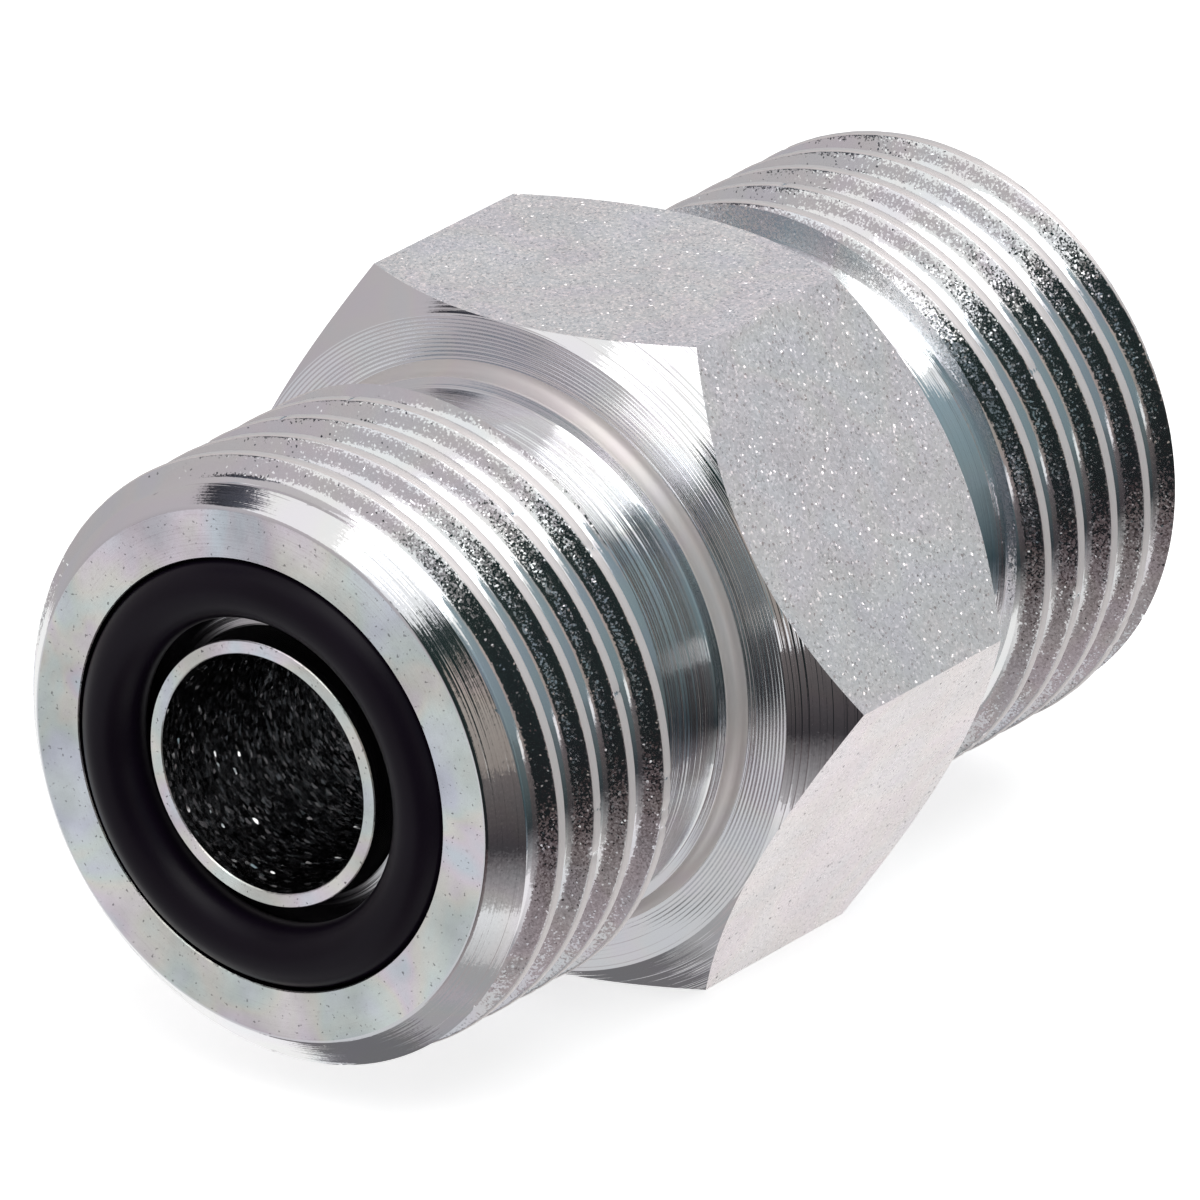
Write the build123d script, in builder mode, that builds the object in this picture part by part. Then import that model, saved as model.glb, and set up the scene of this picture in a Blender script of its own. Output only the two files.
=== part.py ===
from build123d import *
from math import ceil, cos, radians, sin, tan
import os

# Straight face seal fitting: a hollow steel body with a threaded spigot at each end, a hexagon
# between them for the spanner, and a rubber ring in a groove in each end face.
# The origin is on the bore axis at mid-length. The bore runs along Y, the near face looks to -Y,
# and one flat of the hexagon faces down, which is how the fitting lies on a table.

# Overall sizes
body_length = 31.75
bore_diameter = 6.86

# Hexagon
hex_across_flats = 19.05
hex_length = 9.4
hex_rim_inset = 0.03
hex_bevel_angle = 45.0

# Thread, the same at both ends
thread_major_diameter = 17.4
thread_pitch = 1.5875
thread_crest_width = 0.28
thread_root_radius = 0.45
thread_half_angle = 30.0
thread_length = 7.78
near_thread_crest = 1.92
far_thread_crest = 4.12
thread_phase_angle = 34.6

# End face
face_diameter = 15.3

# Ring groove and the thin lip between the groove and the bore
groove_outer_diameter = 12.4
lip_diameter = 7.66
groove_depth = 1.36
lip_recess = 0.12

# Relief behind the thread, the narrow land after it and the blend into the shoulder
relief_diameter = 15.3
relief_length = 2.68
land_diameter = 15.9
land_step_length = 0.12
shoulder_blend_radius = 0.42
shoulder_rise = 0.08

# Rubber ring, seated on the groove floor and against the outer groove wall
ring_section = 1.78
ring_wall_clearance = 0.01
ring_floor_clearance = 0.01

# Sizes that follow from the ones above
half_length = body_length / 2
half_hex = hex_length / 2
bore_radius = bore_diameter / 2
lip_radius = lip_diameter / 2
groove_radius = groove_outer_diameter / 2
face_radius = face_diameter / 2
major_radius = thread_major_diameter / 2
relief_radius = relief_diameter / 2
land_radius = land_diameter / 2
rim_radius = hex_across_flats / 2 - hex_rim_inset
corner_radius = hex_across_flats / 2 / cos(radians(30))
relief_start = half_length - thread_length
relief_end = relief_start - relief_length
groove_half_width = (thread_pitch - thread_crest_width) / 2
root_centre_depth = (
    groove_half_width - thread_root_radius / cos(radians(thread_half_angle))
) / tan(radians(thread_half_angle))
thread_depth = root_centre_depth + thread_root_radius

# The cutter reaches past the crest by this much, so that it leaves a clean edge
cutter_overreach = 0.12


def turn_cutter(start_y, turns):
    """Round-bottomed right-hand helical groove of up to one turn, starting at the top of the body."""
    mouth = groove_half_width + cutter_overreach * tan(radians(thread_half_angle))
    foot_width = thread_root_radius * cos(radians(thread_half_angle))
    foot_depth = root_centre_depth + thread_root_radius * sin(radians(thread_half_angle))
    with BuildPart() as cutter:
        with BuildLine() as path:
            Helix(
                pitch=thread_pitch,
                height=turns * thread_pitch,
                radius=major_radius,
                center=(0, start_y, 0),
                direction=(0, 1, 0),
            )
        with BuildSketch(Plane(origin=(0, start_y, major_radius), x_dir=(0, 0, 1), z_dir=(-1, 0, 0))):
            with BuildLine():
                Line((cutter_overreach, -mouth), (-foot_depth, -foot_width))
                ThreePointArc((-foot_depth, -foot_width), (-thread_depth, 0), (-foot_depth, foot_width))
                Line((-foot_depth, foot_width), (cutter_overreach, mouth))
                Line((cutter_overreach, mouth), (cutter_overreach, -mouth))
            make_face()
        sweep(path=path.wires()[0], is_frenet=True)
    return cutter.part


def thread_turns(crest_from_face, crest_angle):
    """Cutters for the near end, one for each turn. They start in front of the face and leave the
    body in the middle of the relief. Along the line at crest_angle above the X axis, one crest
    lies crest_from_face behind the face."""
    turns_in_front = ceil(crest_from_face / thread_pitch) + 0.5 + (90 - crest_angle) / 360
    start_y = -half_length + crest_from_face - turns_in_front * thread_pitch
    turn_count = (-(relief_start + relief_end) / 2 - start_y) / thread_pitch
    return [
        turn_cutter(start_y + turn * thread_pitch, min(1, turn_count - turn))
        for turn in range(ceil(turn_count))
    ]


# The far end is threaded the same way with the body turned round, so it is right-handed as well
near_thread = thread_turns(near_thread_crest, thread_phase_angle)
far_thread = [
    turn.rotate(Axis.Z, 180) for turn in thread_turns(far_thread_crest, 180 - thread_phase_angle)
]

# One-piece body: turned ends, extruded hexagon with turned corners, then the two threads
with BuildPart() as fitting_body:
    for side in (-1, 1):
        end = side * half_length
        with BuildSketch(Plane.XY):
            with BuildLine():
                Polyline(
                    (land_radius + shoulder_blend_radius, side * (half_hex + shoulder_rise)),
                    (rim_radius, side * half_hex),
                    (rim_radius, 0),
                    (bore_radius, 0),
                    (bore_radius, end - side * lip_recess),
                    (lip_radius, end - side * lip_recess),
                    (lip_radius, end - side * groove_depth),
                    (groove_radius, end - side * groove_depth),
                    (groove_radius, end),
                    (face_radius, end),
                    (major_radius, end - side * (major_radius - face_radius)),
                    (major_radius, side * relief_start),
                    (relief_radius, side * relief_start),
                    (relief_radius, side * relief_end),
                    (land_radius, side * (relief_end - land_step_length)),
                    (land_radius, side * (half_hex + shoulder_rise + shoulder_blend_radius)),
                )
                CenterArc(
                    (
                        land_radius + shoulder_blend_radius,
                        side * (half_hex + shoulder_rise + shoulder_blend_radius),
                    ),
                    shoulder_blend_radius,
                    180,
                    side * 90,
                )
            make_face()
        revolve(axis=Axis.Y)
    with BuildSketch(Plane.XZ):
        RegularPolygon(hex_across_flats / 2, 6, major_radius=False)
        Circle(bore_radius, mode=Mode.SUBTRACT)
    extrude(amount=half_hex, both=True)
    for side in (-1, 1):
        bevel_reach = corner_radius + 1 - rim_radius
        with BuildSketch(Plane.XY):
            with BuildLine():
                Polyline(
                    (rim_radius, side * half_hex),
                    (rim_radius + bevel_reach, side * half_hex),
                    (
                        rim_radius + bevel_reach,
                        side * (half_hex - bevel_reach / tan(radians(hex_bevel_angle))),
                    ),
                    close=True,
                )
            make_face()
        revolve(axis=Axis.Y, mode=Mode.SUBTRACT)
    for turn in near_thread + far_thread:
        add(turn, mode=Mode.SUBTRACT)
fitting_body.part.label = "fitting_body"

# Rubber rings, one in each groove
ring_centre_radius = groove_radius - ring_wall_clearance - ring_section / 2
ring_centre_y = half_length - groove_depth + ring_floor_clearance + ring_section / 2

with BuildPart() as front_seal_ring:
    with BuildSketch(Plane.XY):
        with Locations((ring_centre_radius, -ring_centre_y)):
            Circle(ring_section / 2)
    revolve(axis=Axis.Y)
front_seal_ring.part.label = "front_seal_ring"

with BuildPart() as rear_seal_ring:
    with BuildSketch(Plane.XY):
        with Locations((ring_centre_radius, ring_centre_y)):
            Circle(ring_section / 2)
    revolve(axis=Axis.Y)
rear_seal_ring.part.label = "rear_seal_ring"

os.makedirs("parts", exist_ok=True)
export_step(fitting_body.part, "parts/fitting_body.step")
export_step(front_seal_ring.part, "parts/front_seal_ring.step")
export_step(rear_seal_ring.part, "parts/rear_seal_ring.step")
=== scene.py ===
import math

import bpy
import numpy as np
from mathutils import Matrix, Vector


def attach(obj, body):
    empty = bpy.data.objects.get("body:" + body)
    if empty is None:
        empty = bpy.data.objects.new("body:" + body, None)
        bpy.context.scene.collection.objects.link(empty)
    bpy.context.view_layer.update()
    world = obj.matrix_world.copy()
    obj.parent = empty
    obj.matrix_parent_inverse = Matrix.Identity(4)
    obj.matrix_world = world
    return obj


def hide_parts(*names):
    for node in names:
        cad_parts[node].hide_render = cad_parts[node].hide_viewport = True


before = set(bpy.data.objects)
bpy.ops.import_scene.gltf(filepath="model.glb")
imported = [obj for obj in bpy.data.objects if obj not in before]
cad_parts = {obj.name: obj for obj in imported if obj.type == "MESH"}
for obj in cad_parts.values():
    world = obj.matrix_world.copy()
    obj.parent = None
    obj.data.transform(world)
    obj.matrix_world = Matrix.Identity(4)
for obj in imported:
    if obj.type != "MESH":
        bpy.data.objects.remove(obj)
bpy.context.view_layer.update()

# Studio: the fitting lies on a pale table in front of a white background, under one broad soft
# lamp overhead. Grey and dark boards around it, which only the metal mirrors, stand for the room
# and give the turned surfaces their dark bands.
scene = bpy.context.scene
scene.view_settings.view_transform = "Standard"

world = bpy.data.worlds.new("white_studio")
scene.world = world
world.use_nodes = True
world_nodes = world.node_tree.nodes
world_links = world.node_tree.links
world_nodes.clear()
background = world_nodes.new("ShaderNodeBackground")


def shown_rays(nodes, links):
    """One for rays from the camera, off shiny surfaces or through them, else nought."""
    ray = nodes.new("ShaderNodeLightPath")
    seen = nodes.new("ShaderNodeMath")
    seen.operation = "MAXIMUM"
    seen_or_passed = nodes.new("ShaderNodeMath")
    seen_or_passed.operation = "MAXIMUM"
    links.new(ray.outputs["Is Camera Ray"], seen.inputs[0])
    links.new(ray.outputs["Is Glossy Ray"], seen.inputs[1])
    links.new(seen.outputs[0], seen_or_passed.inputs[0])
    links.new(ray.outputs["Is Transmission Ray"], seen_or_passed.inputs[1])
    return seen_or_passed.outputs[0]


def ranged(nodes, links, value, from_min, from_max, to_min, to_max, smooth=False):
    """A socket's value mapped from one range to another, clamped; gives the result socket."""
    node = nodes.new("ShaderNodeMapRange")
    node.interpolation_type = "SMOOTHSTEP" if smooth else "LINEAR"
    node.inputs["From Min"].default_value = from_min
    node.inputs["From Max"].default_value = from_max
    node.inputs["To Min"].default_value = to_min
    node.inputs["To Max"].default_value = to_max
    links.new(value, node.inputs["Value"])
    return node.outputs["Result"]


# The background is full white where the camera or a reflection shows it, and dimmer as a light
BACKGROUND_LIGHT = 0.55
background_level = ranged(
    world_nodes, world_links, shown_rays(world_nodes, world_links), 0.0, 1.0, BACKGROUND_LIGHT, 1.0,
)
world_links.new(background_level, background.inputs["Strength"])
background.inputs["Color"].default_value = (1.0, 1.0, 1.0, 1.0)
world_out = world_nodes.new("ShaderNodeOutputWorld")
world_links.new(background.outputs["Background"], world_out.inputs["Surface"])


def new_material(name):
    """Empty node material: its nodes, its links and the output socket to feed."""
    material = bpy.data.materials.new(name)
    material.use_nodes = True
    material.node_tree.nodes.clear()
    output = material.node_tree.nodes.new("ShaderNodeOutputMaterial")
    return material, material.node_tree.nodes, material.node_tree.links, output.inputs["Surface"]


def mesh_piece(name, vertices, faces, materials, face_material=None, smooth=True, sharp_angle=None):
    """New object from vertices in metres and faces, with its materials."""
    mesh = bpy.data.meshes.new(name)
    mesh.from_pydata([tuple(v) for v in vertices], [], [tuple(int(i) for i in f) for f in faces])
    for material in materials:
        mesh.materials.append(material)
    if face_material is not None:
        mesh.polygons.foreach_set("material_index", np.asarray(face_material, np.int32))
    mesh.polygons.foreach_set("use_smooth", np.full(len(mesh.polygons), smooth))
    if sharp_angle is not None:
        mesh.set_sharp_from_angle(angle=math.radians(sharp_angle))
    mesh.validate()
    mesh.update()
    piece = bpy.data.objects.new(name, mesh)
    scene.collection.objects.link(piece)
    return piece


table_paint, nodes, links, surface = new_material("table_white")
TABLE_GLOW = 0.62
glow_level = nodes.new("ShaderNodeMath")
glow_level.operation = "MULTIPLY"
glow_level.inputs[1].default_value = TABLE_GLOW
glow = nodes.new("ShaderNodeEmission")
paint = nodes.new("ShaderNodeBsdfDiffuse")
paint.inputs["Color"].default_value = (0.86, 0.86, 0.86, 1.0)
both = nodes.new("ShaderNodeAddShader")
links.new(shown_rays(nodes, links), glow_level.inputs[0])
links.new(glow_level.outputs[0], glow.inputs["Strength"])
links.new(glow.outputs[0], both.inputs[0])
links.new(paint.outputs[0], both.inputs[1])
links.new(both.outputs[0], surface)
TABLE_Z = -0.009525
TABLE_HALF = 2.0
table = mesh_piece(
    "studio_table",
    [(x, y, TABLE_Z) for x, y in (
        (-TABLE_HALF, -TABLE_HALF), (TABLE_HALF, -TABLE_HALF),
        (TABLE_HALF, TABLE_HALF), (-TABLE_HALF, TABLE_HALF),
    )],
    [(0, 1, 2, 3)], [table_paint], smooth=False,
)
table.visible_glossy = False


# Overhead softbox, a little to the right of the fitting
LAMP_HEIGHT = 0.50
LAMP_WIDTH = 0.45
LAMP_DEPTH = 0.95
LAMP_RADIANCE = 1.30
softbox = bpy.data.lights.new("overhead_softbox", "AREA")
softbox.shape = "RECTANGLE"
softbox.size = LAMP_WIDTH
softbox.size_y = LAMP_DEPTH
softbox.energy = LAMP_RADIANCE * math.pi * LAMP_WIDTH * LAMP_DEPTH
softbox_holder = bpy.data.objects.new("overhead_softbox", softbox)
softbox_holder.location = (0.17, 0.07, LAMP_HEIGHT)
softbox_holder.visible_camera = False
scene.collection.objects.link(softbox_holder)

BOARD_DISTANCE = 0.40


def mixed(nodes, links, factor, first, second, blend="MIX"):
    """Colour mix; factor and colours are sockets or plain values. Gives the result socket."""
    mix = nodes.new("ShaderNodeMix")
    mix.data_type = "RGBA"
    mix.blend_type = blend
    color_sockets = [socket for socket in mix.inputs if socket.type == "RGBA"]
    for socket, value in zip((mix.inputs["Factor"], *color_sockets), (factor, first, second)):
        if isinstance(value, float):
            socket.default_value = value
        elif isinstance(value, tuple):
            socket.default_value = (*value, 1.0)
        else:
            links.new(value, socket)
    return next(socket for socket in mix.outputs if socket.type == "RGBA")


def board(name, bearings, heights, low_color, high_color, distance=BOARD_DISTANCE):
    """Curved board between two bearings and two height angles, seen only in reflections; its
    tone runs from the low colour at its foot to the high colour at its top."""
    steps = 24
    b = np.radians(np.linspace(bearings[0], bearings[1], steps + 1))
    h = np.radians(np.linspace(heights[0], heights[1], steps + 1))
    vertices = [
        tuple(distance * part for part in (
            math.sin(i) * math.cos(j), math.cos(i) * math.cos(j), math.sin(j),
        ))
        for j in h for i in b
    ]
    row = steps + 1
    faces = [
        (r * row + c, r * row + c + 1, (r + 1) * row + c + 1, (r + 1) * row + c)
        for r in range(steps) for c in range(steps)
    ]
    paint_coat, nodes, links, surface = new_material(name)
    tone = nodes.new("ShaderNodeEmission")
    where = nodes.new("ShaderNodeTexCoord")
    parts = nodes.new("ShaderNodeSeparateXYZ")
    links.new(where.outputs["Object"], parts.inputs[0])
    foot, top = (distance * math.sin(math.radians(height)) for height in heights)
    rise = ranged(nodes, links, parts.outputs["Z"], foot, top, 0.0, 1.0)
    links.new(mixed(nodes, links, rise, low_color, high_color), tone.inputs["Color"])
    links.new(tone.outputs[0], surface)
    piece = mesh_piece(name, vertices, faces, [paint_coat])
    piece.visible_camera = False
    piece.visible_diffuse = False
    piece.visible_shadow = False
    piece.visible_transmission = False
    return piece


board("board_back", (-20, 14), (-24, 20), (0.10, 0.095, 0.10), (0.10, 0.095, 0.10), 0.36)
board("board_back_left", (-60, 14), (-14, 34), (0.36, 0.38, 0.42), (0.20, 0.29, 0.34))
board("board_back_right", (14, 60), (2, 34), (0.20, 0.26, 0.275), (0.30, 0.40, 0.45))
board("board_back_right_low", (14, 60), (-20, 2), (0.045, 0.076, 0.09), (0.19, 0.25, 0.265))
board("board_back_right_foot", (14, 60), (-32, -20), (0.24, 0.28, 0.31), (0.05, 0.08, 0.095))
board("board_right", (60, 88), (4, 46), (0.19, 0.25, 0.27), (0.28, 0.36, 0.40))
board("board_right_tall", (88, 122), (4, 55), (0.19, 0.25, 0.27), (0.28, 0.36, 0.40))
board("board_right_low", (60, 104), (-26, 4), (0.03, 0.04, 0.045), (0.15, 0.19, 0.20))
board("board_right_foot", (60, 104), (-40, -26), (0.50, 0.50, 0.50), (0.05, 0.055, 0.06))
board("board_beige", (122, 137), (-4, 30), (0.30, 0.26, 0.24), (0.50, 0.44, 0.40))
board("board_beige_top", (122, 137), (30, 50), (0.40, 0.39, 0.38), (0.30, 0.36, 0.38))
board("board_side", (104, 137), (-26, -4), (0.05, 0.046, 0.05), (0.16, 0.14, 0.14))
board("board_side_low", (104, 140), (-44, -26), (0.50, 0.48, 0.48), (0.05, 0.046, 0.05))
board("board_side_bright", (104, 140), (-62, -44), (0.60, 0.59, 0.60), (0.95, 0.94, 0.95))
board("board_side_floor", (104, 140), (-76, -62), (0.40, 0.40, 0.41), (0.40, 0.40, 0.41))
board("board_camera", (137, 158), (-26, 38), (0.014, 0.015, 0.017), (0.020, 0.034, 0.033))
board("board_camera_edge", (158, 172), (-26, 30), (0.014, 0.015, 0.017), (0.018, 0.030, 0.029))
board("board_camera_fade", (172, 179), (-26, 27), (0.16, 0.15, 0.15), (0.22, 0.22, 0.22))
board("board_front_low", (140, 180), (-80, -26), (0.50, 0.45, 0.46), (0.060, 0.042, 0.042))
board("board_front_left_low", (180, 260), (-80, -14), (0.68, 0.68, 0.70), (0.68, 0.68, 0.70))
board("board_left", (-181, -60), (-14, 38), (0.48, 0.455, 0.47), (0.56, 0.53, 0.545))
board("board_left_gap", (-127, -106), (33, 50), (0.012, 0.012, 0.016), (0.10, 0.105, 0.13), 0.36)
board("board_left_top", (-128, -30), (38, 89), (0.56, 0.54, 0.55), (0.62, 0.60, 0.61))
board("board_under_left", (-110, -40), (-88, -56), (0.18, 0.175, 0.185), (0.18, 0.175, 0.185), 0.36)
board("board_under", (-180, 180), (-90, -76), (0.40, 0.40, 0.41), (0.40, 0.40, 0.41), 0.38)

# Camera: at the photograph's viewing angle, low and from the front right, with a long lens.
CAMERA_BEARING = math.radians(36.998)
CAMERA_HEIGHT_ANGLE = math.radians(22.527)
CAMERA_ROLL = math.radians(-0.963)
CAMERA_DISTANCE = 0.5458
AIM_RIGHT = 0.000277
AIM_UP = 0.000276
AIM_ALONG = 0.00003
LENS_PIXELS = 19762.0
FRAME_PIXELS = 1200.0
to_camera = Vector((
    math.sin(CAMERA_BEARING) * math.cos(CAMERA_HEIGHT_ANGLE),
    -math.cos(CAMERA_BEARING) * math.cos(CAMERA_HEIGHT_ANGLE),
    math.sin(CAMERA_HEIGHT_ANGLE),
))
level_right = Vector((math.cos(CAMERA_BEARING), math.sin(CAMERA_BEARING), 0.0))
level_up = to_camera.cross(level_right)
camera_right = math.cos(CAMERA_ROLL) * level_right + math.sin(CAMERA_ROLL) * level_up
camera_up = math.cos(CAMERA_ROLL) * level_up - math.sin(CAMERA_ROLL) * level_right
camera_lens = bpy.data.cameras.new("camera")
camera_lens.type = "PERSP"
camera_lens.sensor_width = 36.0
camera_lens.lens = 36.0 * LENS_PIXELS / FRAME_PIXELS
camera_lens.clip_start = 0.01
camera_lens.clip_end = 20.0
camera = bpy.data.objects.new("camera", camera_lens)
scene.collection.objects.link(camera)
place = to_camera * CAMERA_DISTANCE - camera_right * AIM_RIGHT - camera_up * AIM_UP
place += Vector((0, AIM_ALONG, 0))
camera.matrix_world = Matrix((
    (camera_right.x, camera_up.x, to_camera.x, place.x),
    (camera_right.y, camera_up.y, to_camera.y, place.y),
    (camera_right.z, camera_up.z, to_camera.z, place.z),
    (0, 0, 0, 1),
))
scene.camera = camera

# Fitting body: one piece of carbon steel, cold-drawn hexagon bar. Both ends are turned, grooved and
# threaded on a lathe, the bar's own flats stay, and the whole is zinc plated with a thin passivate.
MM = 0.001
HALF_LENGTH = 15.875
BORE_RADIUS = 3.43
LIP_RADIUS = 3.83
LIP_RECESS = 0.12
GROOVE_RADIUS = 6.2
GROOVE_DEPTH = 1.36
FACE_RADIUS = 7.65
FACE_EDGE = 0.05
CREST_RADIUS = 8.7
PITCH = 1.5875
CREST_WIDTH = 0.28
CREST_ROUNDING = 0.11
ROOT_ARC = 0.45
FLANK_ANGLE = math.radians(30)
THREAD_PHASE = math.radians(34.6)
NEAR_CREST_Y = -13.955
FAR_CREST_Y = 11.755
RELIEF_START = 8.095
RELIEF_END = 5.415
RELIEF_RADIUS = 7.65
LAND_RADIUS = 7.95
LAND_START = 5.295
BLEND_RADIUS = 0.42
SHOULDER_Y = 4.78
HALF_HEX = 4.70
RIM_RADIUS = 9.495
FLAT_RADIUS = 9.525
COLUMNS = 288

angles = 2 * np.pi * np.arange(COLUMNS) / COLUMNS
groove_half = (PITCH - CREST_WIDTH) / 2
root_centre = (groove_half - ROOT_ARC / math.cos(FLANK_ANGLE)) / math.tan(FLANK_ANGLE)


def thread_radius(offset):
    """Radius of the thread's surface at an axial distance from the nearest crest's middle."""
    from_root = PITCH / 2 - np.abs((offset + PITCH / 2) % PITCH - PITCH / 2)
    foot = ROOT_ARC * math.cos(FLANK_ANGLE)
    arc_height = np.sqrt(np.maximum(ROOT_ARC**2 - np.minimum(from_root, foot) ** 2, 0))
    arc = CREST_RADIUS - root_centre - arc_height
    flank = CREST_RADIUS - (groove_half - from_root) / math.tan(FLANK_ANGLE)
    below = np.where(from_root < foot, arc, flank)
    rounding = np.maximum(CREST_ROUNDING - np.abs(below - CREST_RADIUS), 0) ** 2 / (4 * CREST_ROUNDING)
    return np.minimum(below, CREST_RADIUS) - rounding


# Rows of one thread turn, as distances from the crest's middle: close together on the crest's
# edges and round the root, further apart on the flanks.
half_rows = [0.06, 0.095, 0.125, 0.15, 0.18, 0.28, 0.39, 0.46, 0.55, 0.66]
turn_rows = sorted([0.0] + half_rows + [PITCH / 2] + [PITCH - row for row in half_rows])
ROWS_A_TURN = len(turn_rows)


class BodyMesh:
    """Collects rings of vertices with one vertex for each column, and the bands between them."""

    def __init__(self):
        self.points = []
        self.faces = []
        self.kinds = []

    def ring(self, radii, ys, turn=angles):
        """Adds one ring in mm and gives the indices of its vertices."""
        start = len(self.points)
        radii = np.broadcast_to(radii, (COLUMNS,))
        ys = np.broadcast_to(ys, (COLUMNS,))
        for r, y, a in zip(radii, ys, turn):
            self.points.append((r * math.cos(a), y, r * math.sin(a)))
        return np.arange(start, start + COLUMNS)

    def band(self, first, second, kind, flip):
        """Quads between two rings; kind is the finish of the band."""
        for i in range(COLUMNS):
            j = (i + 1) % COLUMNS
            quad = (first[i], second[i], second[j], first[j])
            self.faces.append(quad[::-1] if flip else quad)
            self.kinds.append(kind)


TURNED, LAND, SHOULDER, CONE, CHAMFER, THREAD, FLAT, FACE, BORE, GROOVE, WALL = range(11)
body = BodyMesh()


def thread_rings(side, crest_y):
    """Threaded cylinder of one end, chamfered at the face. Rows follow the helix; gives the ring
    at the chamfer's foot on the face and the ring at the relief."""
    low, high = sorted((side * (HALF_LENGTH - FACE_EDGE), side * RELIEF_START))
    turns_down = math.ceil((crest_y - low) / PITCH) + 2
    turns_up = math.ceil((high - crest_y) / PITCH) + 2
    offsets = np.array([k * PITCH + row for k in range(-turns_down, turns_up) for row in turn_rows])
    shift = -PITCH * ((angles - THREAD_PHASE) / (2 * np.pi))
    ys = crest_y + shift[None, :] + offsets[:, None]
    inside = (ys > low) & (ys < high)
    cone = lambda y: FACE_RADIUS + (HALF_LENGTH - np.abs(y))
    form = lambda y, i: thread_radius(y - crest_y - shift[i])
    for i in range(COLUMNS):
        column = np.clip(ys[:, i], low, high)
        gap = form(column, i) - cone(column)
        for j in np.nonzero(gap[:-1] * gap[1:] < 0)[0]:
            a, b = column[j], column[j + 1]
            ga = gap[j]
            for _ in range(24):
                m = (a + b) / 2
                gm = form(m, i) - cone(m)
                if gm * ga > 0:
                    a, ga = m, gm
                else:
                    b = m
            near_first = abs(column[j] - a) < abs(column[j + 1] - a)
            pick = j if near_first else j + 1
            if inside[pick, i]:
                ys[pick, i] = a
    ys = np.clip(ys, low, high)
    radii = np.minimum(thread_radius(ys - crest_y - shift[None, :]), cone(ys))
    radii = np.minimum(radii, CREST_RADIUS)
    # The crest is rolled over a little unevenly, with a few small nicks
    wear_depth, nick_depth, nick_threshold, crest_reach = 0.022, 0.05, 0.985, 0.17
    from_crest = (ys - crest_y - shift[None, :] + PITCH / 2) % PITCH - PITCH / 2
    turn_number = np.round((ys - crest_y - shift[None, :] - from_crest) / PITCH)
    along_helix = turn_number * COLUMNS + np.arange(COLUMNS)
    near_crest = np.exp(-((np.abs(from_crest) / crest_reach) ** 4)) * (radii > CREST_RADIUS - 0.1)
    random_wear = np.random.default_rng(11 + side)
    wear_steps = 40 * COLUMNS
    wear = random_wear.random(wear_steps)
    wear = (wear + np.roll(wear, 1) + 0.5 * np.roll(wear, 2)) / 2.5
    nick = (random_wear.random(wear_steps) > nick_threshold) * nick_depth
    edge_wear = random_wear.random((len(offsets), COLUMNS)) * 0.5 + 0.5
    step = along_helix.astype(int) % wear_steps
    inner = (ys > low) * (ys < high)
    radii = radii - near_crest * (wear_depth * wear[step] + nick[step]) * edge_wear * inner
    index = np.full(ys.shape, -1)
    low_ring = body.ring(radii[0], low)
    high_ring = body.ring(radii[-1], high)
    rows = len(offsets)
    for j in range(rows):
        for i in range(COLUMNS):
            if ys[j, i] <= low + 1e-9:
                index[j, i] = low_ring[i]
            elif ys[j, i] >= high - 1e-9:
                index[j, i] = high_ring[i]
            else:
                index[j, i] = len(body.points)
                r, a = radii[j, i], angles[i]
                body.points.append((r * math.cos(a), ys[j, i], r * math.sin(a)))
    for j in range(-ROWS_A_TURN, rows - 1):
        for i in range(COLUMNS):
            k = i + 1
            j2 = j
            if k == COLUMNS:
                k, j2 = 0, j - ROWS_A_TURN
            corner = []
            for row, col in ((j, i), (j + 1, i), (j2 + 1, k), (j2, k)):
                row_kept = min(max(row, 0), rows - 1)
                corner.append(index[row_kept, col])
            seen_corner = []
            for c in corner:
                if c not in seen_corner:
                    seen_corner.append(c)
            if len(seen_corner) < 3:
                continue
            body.faces.append(tuple(seen_corner))
            mid_r = np.mean([math.hypot(body.points[c][0], body.points[c][2]) for c in seen_corner])
            mid_y = np.mean([body.points[c][1] for c in seen_corner])
            body.kinds.append(CHAMFER if mid_r > cone(mid_y) - 0.02 else THREAD)
    return (low_ring, high_ring) if side < 0 else (high_ring, low_ring)


def hex_radius(a):
    """Distance from the axis to the hexagon at an angle; corners lie on the X axis."""
    return FLAT_RADIUS / np.cos((a % (np.pi / 3)) - np.pi / 6)


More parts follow.
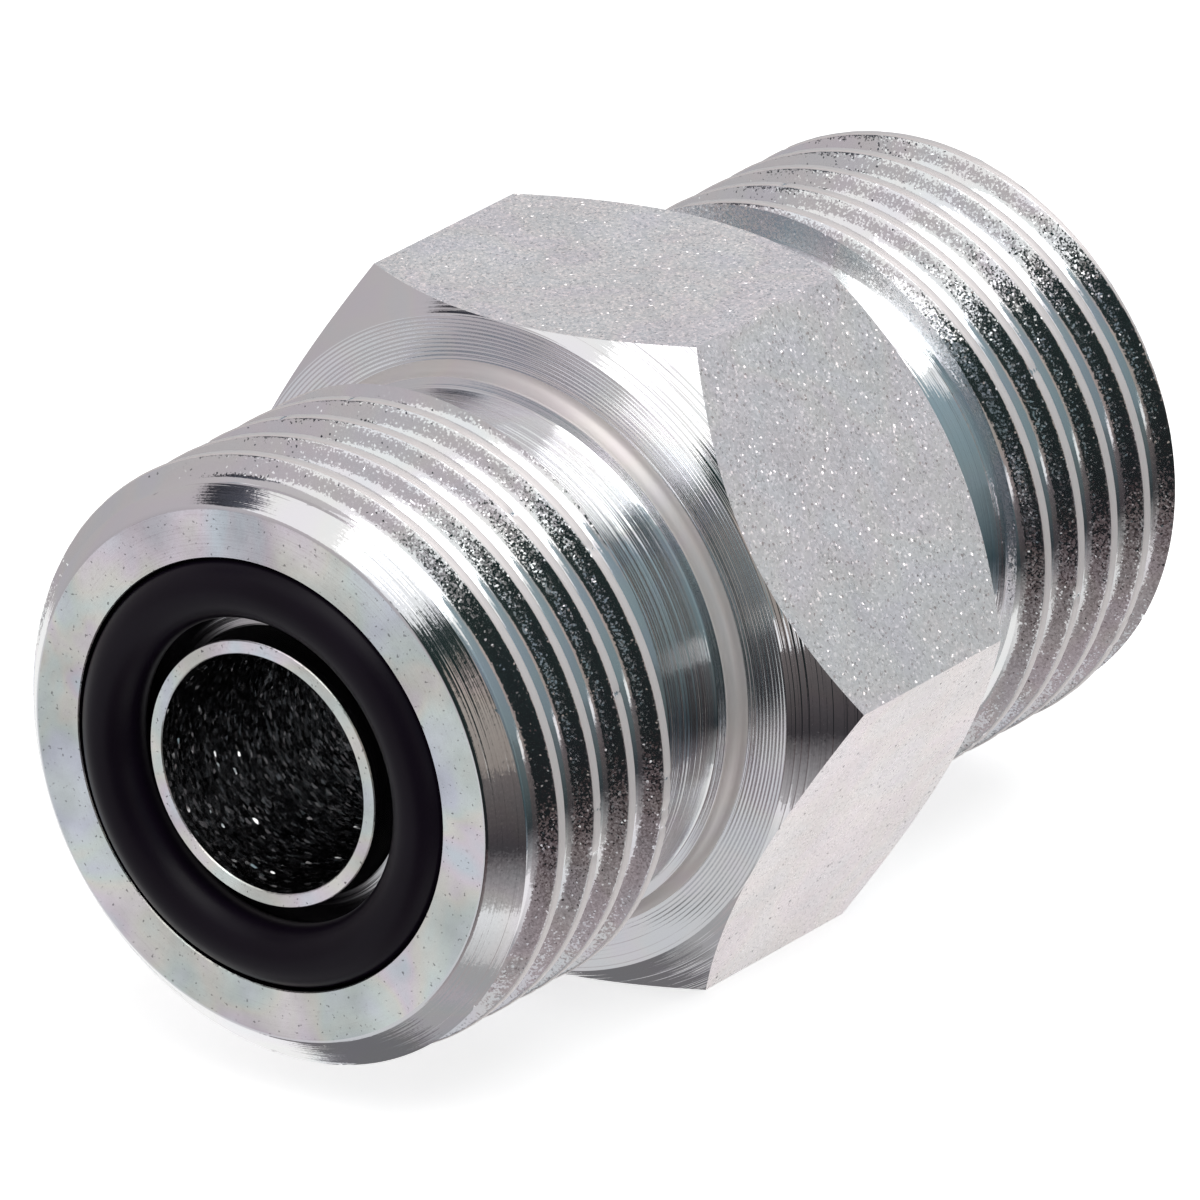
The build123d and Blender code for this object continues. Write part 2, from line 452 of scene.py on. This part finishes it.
hex_r = hex_radius(angles)
ring_before_bore = {}
ring_before_flats = {}
for side, crest_y in ((-1, NEAR_CREST_Y), (1, FAR_CREST_Y)):
    flip = side > 0
    face_ring, relief_ring = thread_rings(side, crest_y)
    # End face, ring groove and lip, inwards from the chamfer to the bore
    edge = 0.03
    profile = [
        (FACE_RADIUS + 0.022, HALF_LENGTH - 0.027, CHAMFER),
        (FACE_RADIUS - 0.014, HALF_LENGTH - 0.009, CHAMFER),
        (FACE_RADIUS - 0.055, HALF_LENGTH, CHAMFER), (FACE_RADIUS - 0.09, HALF_LENGTH, FACE),
        (7.2, HALF_LENGTH, FACE), (6.8, HALF_LENGTH, FACE), (6.5, HALF_LENGTH, FACE),
        (GROOVE_RADIUS + edge, HALF_LENGTH, FACE), (GROOVE_RADIUS, HALF_LENGTH - edge, FACE),
        (GROOVE_RADIUS, HALF_LENGTH - GROOVE_DEPTH + 0.10, GROOVE),
        (GROOVE_RADIUS - 0.03, HALF_LENGTH - GROOVE_DEPTH + 0.03, GROOVE),
        (GROOVE_RADIUS - 0.10, HALF_LENGTH - GROOVE_DEPTH, GROOVE),
        (LIP_RADIUS + 0.10, HALF_LENGTH - GROOVE_DEPTH, GROOVE),
        (LIP_RADIUS + 0.03, HALF_LENGTH - GROOVE_DEPTH + 0.03, GROOVE),
        (LIP_RADIUS, HALF_LENGTH - GROOVE_DEPTH + 0.10, GROOVE),
        (LIP_RADIUS, HALF_LENGTH - LIP_RECESS - edge, GROOVE),
        (LIP_RADIUS - edge, HALF_LENGTH - LIP_RECESS, FACE),
        (BORE_RADIUS + edge, HALF_LENGTH - LIP_RECESS, FACE),
        (BORE_RADIUS, HALF_LENGTH - LIP_RECESS - edge, FACE),
    ]
    last = face_ring
    for radius, height, kind in profile:
        ring = body.ring(radius, side * height)
        body.band(last, ring, kind, not flip)
        last = ring
    ring_before_bore[side] = last
    # Relief behind the thread, the narrow land and the blend into the shoulder
    fillet = 0.10
    profile = [
        (RELIEF_RADIUS + fillet, RELIEF_START),
        (RELIEF_RADIUS + 0.03, RELIEF_START - 0.03),
        (RELIEF_RADIUS, RELIEF_START - fillet),
        (RELIEF_RADIUS, (RELIEF_START + RELIEF_END) / 2),
        (RELIEF_RADIUS, RELIEF_END + 0.06), (RELIEF_RADIUS + 0.03, RELIEF_END),
        (LAND_RADIUS - 0.03, LAND_START + 0.03), (LAND_RADIUS, LAND_START),
    ]
    for t in np.linspace(0, 90, 7):
        turn = math.radians(t)
        profile.append((
            LAND_RADIUS + BLEND_RADIUS * (1 - math.cos(turn)),
            SHOULDER_Y + BLEND_RADIUS * (1 - math.sin(turn)),
        ))
    profile += [(8.75, SHOULDER_Y - 0.027), (9.1, SHOULDER_Y - 0.052), (RIM_RADIUS, HALF_HEX)]
    last = relief_ring
    for radius, height in profile:
        ring = body.ring(radius, side * height)
        if height == RELIEF_START:
            finish = WALL
        else:
            finish = SHOULDER if radius > 8.3 else TURNED if height > LAND_START else LAND
        body.band(last, ring, finish, flip)
        last = ring
    # Turned corners of the hexagon: a cone that the six flats cut off
    for part in (0.33, 0.66, 1.0):
        radius = RIM_RADIUS + (hex_r - RIM_RADIUS) * part
        ring = body.ring(radius, side * (HALF_HEX - (radius - RIM_RADIUS)))
        body.band(last, ring, CONE, flip)
        last = ring
    ring_before_flats[side] = last

# Bore, one long drilled hole from lip to lip
last = ring_before_bore[-1]
for y in np.linspace(-(HALF_LENGTH - LIP_RECESS) + 0.4, HALF_LENGTH - LIP_RECESS - 0.4, 12):
    ring = body.ring(BORE_RADIUS, y)
    body.band(last, ring, BORE, False)
    last = ring
body.band(last, ring_before_bore[1], BORE, False)

# The six flats
last = ring_before_flats[-1]
edge_y = HALF_HEX - (hex_r - RIM_RADIUS)
for part in np.linspace(-0.9, 0.9, 5):
    ring = body.ring(hex_r, edge_y * part)
    body.band(last, ring, FLAT, True)
    last = ring
body.band(last, ring_before_flats[1], FLAT, True)


def new_group(name, inputs, outputs):
    """Shader node group with its sockets; gives the group, its input node and its output node."""
    group = bpy.data.node_groups.new(name, "ShaderNodeTree")
    for socket, kind, value in inputs:
        made = group.interface.new_socket(socket, in_out="INPUT", socket_type=kind)
        if value is not None:
            made.default_value = value
    for socket, kind in outputs:
        group.interface.new_socket(socket, in_out="OUTPUT", socket_type=kind)
    return group, group.nodes.new("NodeGroupInput"), group.nodes.new("NodeGroupOutput")


def math_node(tree, operation, first, second=None, third=None):
    """Math node fed by sockets or numbers; gives its output socket."""
    node = tree.nodes.new("ShaderNodeMath")
    node.operation = operation
    for socket, value in zip(node.inputs, (first, second, third)):
        if value is None:
            continue
        if isinstance(value, (int, float)):
            socket.default_value = value
        else:
            tree.links.new(value, socket)
    return node.outputs[0]


def vector_node(tree, operation, first, second=None, scale=None):
    """Vector math node fed by sockets or numbers; gives its vector output."""
    node = tree.nodes.new("ShaderNodeVectorMath")
    node.operation = operation
    for socket, value in zip(node.inputs, (first, second)):
        if value is None:
            continue
        if isinstance(value, tuple):
            socket.default_value = value
        else:
            tree.links.new(value, socket)
    if scale is not None:
        if isinstance(scale, (int, float)):
            node.inputs["Scale"].default_value = scale
        else:
            tree.links.new(scale, node.inputs["Scale"])
    return node.outputs["Vector"]


def radius_from_axis(tree, split):
    """Distance from the bore axis, in metres, from the parts of an object place."""
    squares = [math_node(tree, "MULTIPLY", split.outputs[part], split.outputs[part]) for part in "XZ"]
    return math_node(tree, "SQRT", math_node(tree, "ADD", *squares))


# Lathe lines: fine rings that the tool leaves, by their place along the turned profile
lathe_lines, group_in, group_out = new_group(
    "lathe_lines",
    [
        ("Spacing", "NodeSocketFloat", 0.12), ("Unevenness", "NodeSocketFloat", 0.6),
        ("Feed", "NodeSocketFloat", 0.0),
    ],
    [("Height", "NodeSocketFloat"), ("Streaks", "NodeSocketFloat")],
)
tree = lathe_lines
MM_PER_METRE = 1000.0
place_node = tree.nodes.new("ShaderNodeTexCoord")
split = tree.nodes.new("ShaderNodeSeparateXYZ")
tree.links.new(place_node.outputs["Object"], split.inputs[0])
radial = radius_from_axis(tree, split)
along = math_node(tree, "SUBTRACT", radial, math_node(tree, "ABSOLUTE", split.outputs["Y"]))
along_in_mm = math_node(tree, "MULTIPLY", along, MM_PER_METRE)
count = math_node(tree, "DIVIDE", along_in_mm, group_in.outputs["Spacing"])
unevenness = group_in.outputs["Unevenness"]
round_x = math_node(
    tree, "MULTIPLY", math_node(tree, "DIVIDE", split.outputs["X"], radial), unevenness,
)
round_z = math_node(
    tree, "MULTIPLY", math_node(tree, "DIVIDE", split.outputs["Z"], radial), unevenness,
)
joined = tree.nodes.new("ShaderNodeCombineXYZ")
tree.links.new(count, joined.inputs["X"])
tree.links.new(round_x, joined.inputs["Y"])
tree.links.new(round_z, joined.inputs["Z"])
fine = tree.nodes.new("ShaderNodeTexNoise")
fine.inputs["Scale"].default_value = 1.0
fine.inputs["Detail"].default_value = 2.0
fine.inputs["Roughness"].default_value = 0.6
tree.links.new(joined.outputs[0], fine.inputs["Vector"])
slow = tree.nodes.new("ShaderNodeTexNoise")
slow.inputs["Scale"].default_value = 0.35
slow.inputs["Detail"].default_value = 1.0
tree.links.new(joined.outputs[0], slow.inputs["Vector"])
feed_wave = math_node(tree, "ADD", 0.5, math_node(
    tree, "MULTIPLY", 0.5, math_node(tree, "SINE", math_node(tree, "MULTIPLY", count, 2 * math.pi)),
))
feed_height = math_node(tree, "MULTIPLY", feed_wave, group_in.outputs["Feed"])
tree.links.new(math_node(tree, "ADD", fine.outputs["Fac"], feed_height), group_out.inputs["Height"])
tree.links.new(slow.outputs["Fac"], group_out.inputs["Streaks"])

# Plating grain: tiny zinc crystals, each tilted its own way, so that some sparkle
plating_grain, group_in, group_out = new_group(
    "plating_grain",
    [
        ("Grain", "NodeSocketFloat", 0.12), ("Tilt", "NodeSocketFloat", 0.2),
        ("Normal", "NodeSocketVector", None),
    ],
    [
        ("Normal", "NodeSocketVector"), ("Tone", "NodeSocketFloat"), ("Pits", "NodeSocketFloat"),
        ("Glint", "NodeSocketFloat"),
    ],
)
tree = plating_grain
place_node = tree.nodes.new("ShaderNodeTexCoord")
cell_scale = math_node(tree, "DIVIDE", MM_PER_METRE, group_in.outputs["Grain"])
cells = tree.nodes.new("ShaderNodeTexVoronoi")
tree.links.new(place_node.outputs["Object"], cells.inputs["Vector"])
tree.links.new(cell_scale, cells.inputs["Scale"])
lean = vector_node(tree, "SUBTRACT", cells.outputs["Color"], (0.5, 0.5, 0.5))
cell_split = tree.nodes.new("ShaderNodeSeparateXYZ")
tree.links.new(cells.outputs["Color"], cell_split.inputs[0])
scattered = math_node(tree, "FRACT", math_node(tree, "MULTIPLY", cell_split.outputs["X"], 9.7))
rare = math_node(tree, "POWER", scattered, 14.0)
tree.links.new(rare, group_out.inputs["Glint"])
reach = math_node(
    tree, "MULTIPLY", group_in.outputs["Tilt"],
    math_node(tree, "ADD", 0.5, math_node(tree, "MULTIPLY", rare, 1.6)),
)
lean = vector_node(tree, "SCALE", lean, scale=reach)
leaned = vector_node(tree, "NORMALIZE", vector_node(tree, "ADD", group_in.outputs["Normal"], lean))
tree.links.new(leaned, group_out.inputs["Normal"])
tone_noise = tree.nodes.new("ShaderNodeTexNoise")
tone_noise.inputs["Scale"].default_value = 420.0
tone_noise.inputs["Detail"].default_value = 3.0
tree.links.new(place_node.outputs["Object"], tone_noise.inputs["Vector"])
tree.links.new(tone_noise.outputs["Fac"], group_out.inputs["Tone"])
pit_noise = tree.nodes.new("ShaderNodeTexNoise")
pit_noise.inputs["Detail"].default_value = 1.0
pit_scale = math_node(tree, "DIVIDE", 520.0, group_in.outputs["Grain"])
tree.links.new(pit_scale, pit_noise.inputs["Scale"])
tree.links.new(place_node.outputs["Object"], pit_noise.inputs["Vector"])
pit_mask = ranged(tree.nodes, tree.links, pit_noise.outputs["Fac"], 0.27, 0.33, 0.0, 1.0)
tree.links.new(pit_mask, group_out.inputs["Pits"])

# Passivate tint: the thin clear film shows faint pink, yellow, green and blue
passivate_tint, group_in, group_out = new_group(
    "passivate_tint",
    [("Metal", "NodeSocketColor", (0.8, 0.8, 0.8, 1.0)), ("Amount", "NodeSocketFloat", 0.3)],
    [("Color", "NodeSocketColor")],
)
tree = passivate_tint
place_node = tree.nodes.new("ShaderNodeTexCoord")
film = tree.nodes.new("ShaderNodeTexNoise")
film.inputs["Scale"].default_value = 330.0
film.inputs["Detail"].default_value = 2.0
film.inputs["Distortion"].default_value = 0.6
tree.links.new(place_node.outputs["Object"], film.inputs["Vector"])
hues = tree.nodes.new("ShaderNodeValToRGB")
hues.color_ramp.elements[0].position = 0.30
hues.color_ramp.elements[0].color = (0.78, 0.90, 0.98, 1.0)
hues.color_ramp.elements[1].position = 0.70
hues.color_ramp.elements[1].color = (0.80, 0.86, 1.0, 1.0)
for position, color in (
    (0.42, (0.98, 0.84, 0.92, 1.0)), (0.50, (1.0, 0.97, 0.82, 1.0)), (0.58, (0.84, 0.98, 0.88, 1.0)),
):
    stop = hues.color_ramp.elements.new(position)
    stop.color = color
tree.links.new(film.outputs["Fac"], hues.inputs["Fac"])
tinted = mixed(
    tree.nodes, tree.links, group_in.outputs["Amount"],
    group_in.outputs["Metal"], hues.outputs["Color"], "MULTIPLY",
)
tree.links.new(tinted, group_out.inputs["Color"])


# Thread mask: Flank is one on the flanks and nought on the crest and down in the root; Crest is one
# on the crest, which the thread's finish shows rubbed
flank_mask, group_in, group_out = new_group(
    "flank_mask", [], [("Flank", "NodeSocketFloat"), ("Crest", "NodeSocketFloat")],
)
tree = flank_mask
place_node = tree.nodes.new("ShaderNodeTexCoord")
split = tree.nodes.new("ShaderNodeSeparateXYZ")
tree.links.new(place_node.outputs["Object"], split.inputs[0])
depth = radius_from_axis(tree, split)
above_root = ranged(tree.nodes, tree.links, depth, 8.10 * MM, 8.26 * MM, 0.0, 1.0, smooth=True)
under_crest = ranged(tree.nodes, tree.links, depth, 8.668 * MM, 8.644 * MM, 0.0, 1.0, smooth=True)
tree.links.new(math_node(tree, "MULTIPLY", above_root, under_crest), group_out.inputs["Flank"])
tree.links.new(math_node(tree, "SUBTRACT", 1.0, under_crest), group_out.inputs["Crest"])


CREST_METALLIC = 0.35
PIT_COLOR = (0.06, 0.055, 0.06)


def zinc(name, color, tint, roughness, spacing=None, line_height=0.0, unevenness=0.6, feed=0.0,
         grain=None, tilt=0.0, streak_roughness=0.0, pits=0.0, mottle=0.0, flank_tilt=None,
         crest_roughness=None, crest_color=None, metallic=1.0, glint_roughness=None):
    """Zinc-plated steel: lathe lines and plating grain in the normal, a faint film colour."""
    material, nodes, links, surface = new_material(name)
    metal = nodes.new("ShaderNodeBsdfPrincipled")
    metal.inputs["Metallic"].default_value = metallic
    metal.inputs["Roughness"].default_value = roughness
    links.new(metal.outputs[0], surface)
    film = nodes.new("ShaderNodeGroup")
    film.node_tree = passivate_tint
    film.inputs["Metal"].default_value = (*color, 1.0)
    film.inputs["Amount"].default_value = tint
    shown = film.outputs["Color"]
    normal = nodes.new("ShaderNodeNewGeometry").outputs["Normal"]
    if spacing:
        lines = nodes.new("ShaderNodeGroup")
        lines.node_tree = lathe_lines
        lines.inputs["Spacing"].default_value = spacing
        lines.inputs["Unevenness"].default_value = unevenness
        lines.inputs["Feed"].default_value = feed
        relief = nodes.new("ShaderNodeBump")
        relief.inputs["Strength"].default_value = 1.0
        relief.inputs["Distance"].default_value = line_height * MM
        links.new(lines.outputs["Height"], relief.inputs["Height"])
        normal = relief.outputs["Normal"]
        if streak_roughness:
            streaks = ranged(
                nodes, links, lines.outputs["Streaks"], 0.3, 0.7,
                max(roughness - streak_roughness, 0.02), roughness + streak_roughness,
            )
            links.new(streaks, metal.inputs["Roughness"])
    if grain:
        crystals = nodes.new("ShaderNodeGroup")
        crystals.node_tree = plating_grain
        crystals.inputs["Grain"].default_value = grain
        crystals.inputs["Tilt"].default_value = tilt
        if flank_tilt:
            where = nodes.new("ShaderNodeGroup")
            where.node_tree = flank_mask
            flank, crest = where.outputs["Flank"], where.outputs["Crest"]
            links.new(ranged(nodes, links, flank, 0.0, 1.0, tilt, flank_tilt), crystals.inputs["Tilt"])
            rubbed = ranged(nodes, links, crest, 0.0, 1.0, roughness, crest_roughness)
            links.new(rubbed, metal.inputs["Roughness"])
            crest_metal = ranged(nodes, links, crest, 0.0, 1.0, metallic, CREST_METALLIC)
            links.new(crest_metal, metal.inputs["Metallic"])
            shown = mixed(nodes, links, crest, shown, crest_color)
        links.new(normal, crystals.inputs["Normal"])
        normal = crystals.outputs["Normal"]
        if glint_roughness is not None:
            glint = crystals.outputs["Glint"]
            bright = ranged(nodes, links, glint, 0.0, 0.5, roughness, glint_roughness)
            links.new(bright, metal.inputs["Roughness"])
        if mottle:
            cloud = ranged(nodes, links, crystals.outputs["Tone"], 0.35, 0.62, 1.0 - mottle, 1.0)
            shown = mixed(nodes, links, 1.0, shown, cloud, "MULTIPLY")
        if pits:
            dark_level = ranged(nodes, links, crystals.outputs["Pits"], 0.0, 1.0, pits, 0.0)
            shown = mixed(nodes, links, dark_level, shown, PIT_COLOR)
    links.new(shown, metal.inputs["Base Color"])
    links.new(normal, metal.inputs["Normal"])
    return material


# Drill chatter: rows of short facets that run round the wall of the bore
drill_chatter, group_in, group_out = new_group(
    "drill_chatter",
    [
        ("Row", "NodeSocketFloat", 0.1), ("Facet", "NodeSocketFloat", 0.2),
        ("Tilt", "NodeSocketFloat", 0.5),
    ],
    [("Normal", "NodeSocketVector"), ("Glint", "NodeSocketFloat")],
)
tree = drill_chatter
place_node = tree.nodes.new("ShaderNodeTexCoord")
split = tree.nodes.new("ShaderNodeSeparateXYZ")
tree.links.new(place_node.outputs["Object"], split.inputs[0])
round_bore = math_node(
    tree, "MULTIPLY", math_node(tree, "ARCTAN2", split.outputs["Z"], split.outputs["X"]), BORE_RADIUS,
)
cell_place = tree.nodes.new("ShaderNodeCombineXYZ")
along_bore = math_node(tree, "MULTIPLY", split.outputs["Y"], MM_PER_METRE)
tree.links.new(math_node(tree, "DIVIDE", along_bore, group_in.outputs["Row"]), cell_place.inputs["X"])
tree.links.new(math_node(tree, "DIVIDE", round_bore, group_in.outputs["Facet"]), cell_place.inputs["Y"])
facets = tree.nodes.new("ShaderNodeTexVoronoi")
facets.inputs["Scale"].default_value = 1.0
facets.inputs["Randomness"].default_value = 0.8
tree.links.new(cell_place.outputs[0], facets.inputs["Vector"])
facet_split = tree.nodes.new("ShaderNodeSeparateXYZ")
tree.links.new(facets.outputs["Color"], facet_split.inputs[0])
scattered = math_node(tree, "FRACT", math_node(tree, "MULTIPLY", facet_split.outputs["Z"], 7.3))
strong = math_node(tree, "POWER", scattered, 4.0)
facet_lean = vector_node(
    tree, "SCALE", vector_node(tree, "SUBTRACT", facets.outputs["Color"], (0.5, 0.5, 0.5)),
    scale=math_node(tree, "MULTIPLY", group_in.outputs["Tilt"], math_node(tree, "ADD", 0.40, strong)),
)
wall_normal = tree.nodes.new("ShaderNodeNewGeometry")
tree.links.new(
    vector_node(tree, "NORMALIZE", vector_node(tree, "ADD", wall_normal.outputs["Normal"], facet_lean)),
    group_out.inputs["Normal"],
)
tree.links.new(strong, group_out.inputs["Glint"])

ZINC_COLOR = (0.80, 0.80, 0.82)
WORN_COLOR = (0.71, 0.665, 0.66)
drilled, nodes, links, surface = new_material("zinc_bore")
metal = nodes.new("ShaderNodeBsdfPrincipled")
metal.inputs["Metallic"].default_value = 1.0
metal.inputs["Roughness"].default_value = 0.12
chatter = nodes.new("ShaderNodeGroup")
chatter.node_tree = drill_chatter
chatter.inputs["Row"].default_value = 0.09
chatter.inputs["Facet"].default_value = 0.17
chatter.inputs["Tilt"].default_value = 1.1
# Painted shade and painted highlight: the bore wall is painted dark, and the strongly tilted facets are
# painted bright.
bore_shade_and_glint_paint = mixed(nodes, links, chatter.outputs["Glint"], (0.34, 0.34, 0.345), (0.90, 0.90, 0.90))
links.new(bore_shade_and_glint_paint, metal.inputs["Base Color"])
links.new(chatter.outputs["Normal"], metal.inputs["Normal"])
links.new(metal.outputs[0], surface)
finishes = [
    zinc("zinc_turned", ZINC_COLOR, 0.15, 0.08, spacing=0.12, line_height=0.024, unevenness=0.22,
         grain=0.06, tilt=0.03, streak_roughness=0.05),
    zinc("zinc_land", WORN_COLOR, 0.15, 0.38, spacing=0.10, line_height=0.004, metallic=0.5),
    zinc("zinc_shoulder", ZINC_COLOR, 0.15, 0.10, spacing=0.12, line_height=0.010, unevenness=0.3,
         feed=0.8, streak_roughness=0.04),
    zinc("zinc_hexagon_cone", ZINC_COLOR, 0.15, 0.07, spacing=0.18, line_height=0.028, unevenness=0.4,
         grain=0.06, tilt=0.02),
    zinc("zinc_chamfer", ZINC_COLOR, 0.20, 0.10, spacing=0.14, line_height=0.010, unevenness=0.3,
         grain=0.06, tilt=0.04),
    zinc("zinc_thread", ZINC_COLOR, 0.20, 0.11, spacing=0.10, line_height=0.0006, grain=0.05, tilt=0.03,
         flank_tilt=0.28, crest_roughness=0.42, crest_color=WORN_COLOR),
    zinc("zinc_flats", (0.925, 0.86, 0.87), 0.15, 0.34, grain=0.065, tilt=0.62, pits=0.35, mottle=0.08,
         metallic=0.55, glint_roughness=0.10),
    zinc("zinc_end_face", (0.90, 0.905, 0.92), 0.60, 0.26, spacing=0.06, line_height=0.008,
         unevenness=1.4, grain=0.07, tilt=0.14, pits=0.6, mottle=0.26),
    drilled,
    # The ring groove's zinc is painted darker than the rest: painted shade in the recess under the seal
    # ring.
    zinc("zinc_groove_painted_shade", (0.62, 0.62, 0.63), 0.10, 0.20, spacing=0.12, line_height=0.010),
    zinc("zinc_wall", ZINC_COLOR, 0.20, 0.12, grain=0.05, tilt=0.26),
]
fitting = mesh_piece(
    "turned_body", np.array(body.points) * MM, body.faces, finishes, body.kinds, sharp_angle=24,
)
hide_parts("fitting_body")
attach(fitting, "root")

# Seal rings: moulded nitrile rubber rings of round section, pressed by hand into the groove of each
# end face, where they stand a little proud.
RING_SECTION = 1.774
RING_CENTRE_RADIUS = 5.30
RING_CENTRE_Y = 15.415
RING_STEPS = 192
SECTION_STEPS = 40
rubber, nodes, links, surface = new_material("nitrile_black")
skin = nodes.new("ShaderNodeBsdfPrincipled")
skin.inputs["Roughness"].default_value = 0.34
skin.inputs["Specular IOR Level"].default_value = 0.14
place_node = nodes.new("ShaderNodeTexCoord")
bloom = nodes.new("ShaderNodeTexNoise")
bloom.inputs["Scale"].default_value = 500.0
bloom.inputs["Detail"].default_value = 4.0
links.new(place_node.outputs["Object"], bloom.inputs["Vector"])
shade = mixed(nodes, links, bloom.outputs["Fac"], (0.0045, 0.0024, 0.0062), (0.0085, 0.0050, 0.0120))
links.new(shade, skin.inputs["Base Color"])
texture = nodes.new("ShaderNodeTexNoise")
texture.inputs["Scale"].default_value = 9000.0
links.new(place_node.outputs["Object"], texture.inputs["Vector"])
skin_relief = nodes.new("ShaderNodeBump")
skin_relief.inputs["Strength"].default_value = 1.0
skin_relief.inputs["Distance"].default_value = 0.0000015
links.new(texture.outputs["Fac"], skin_relief.inputs["Height"])
links.new(skin_relief.outputs["Normal"], skin.inputs["Normal"])
links.new(skin.outputs[0], surface)
for side, name, node in ((-1, "front_ring", "front_seal_ring"), (1, "rear_ring", "rear_seal_ring")):
    vertices = []
    for i in range(RING_STEPS):
        a = 2 * math.pi * i / RING_STEPS
        for j in range(SECTION_STEPS):
            b = 2 * math.pi * j / SECTION_STEPS
            radius = RING_CENTRE_RADIUS + RING_SECTION / 2 * math.cos(b)
            vertices.append((
                radius * math.cos(a) * MM,
                (side * RING_CENTRE_Y + RING_SECTION / 2 * math.sin(b)) * MM,
                radius * math.sin(a) * MM,
            ))
    faces = [
        (
            i * SECTION_STEPS + j,
            i * SECTION_STEPS + (j + 1) % SECTION_STEPS,
            ((i + 1) % RING_STEPS) * SECTION_STEPS + (j + 1) % SECTION_STEPS,
            ((i + 1) % RING_STEPS) * SECTION_STEPS + j,
        )
        for i in range(RING_STEPS) for j in range(SECTION_STEPS)
    ]
    ring_piece = mesh_piece(name, vertices, faces, [rubber])
    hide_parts(node)
    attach(ring_piece, "root")
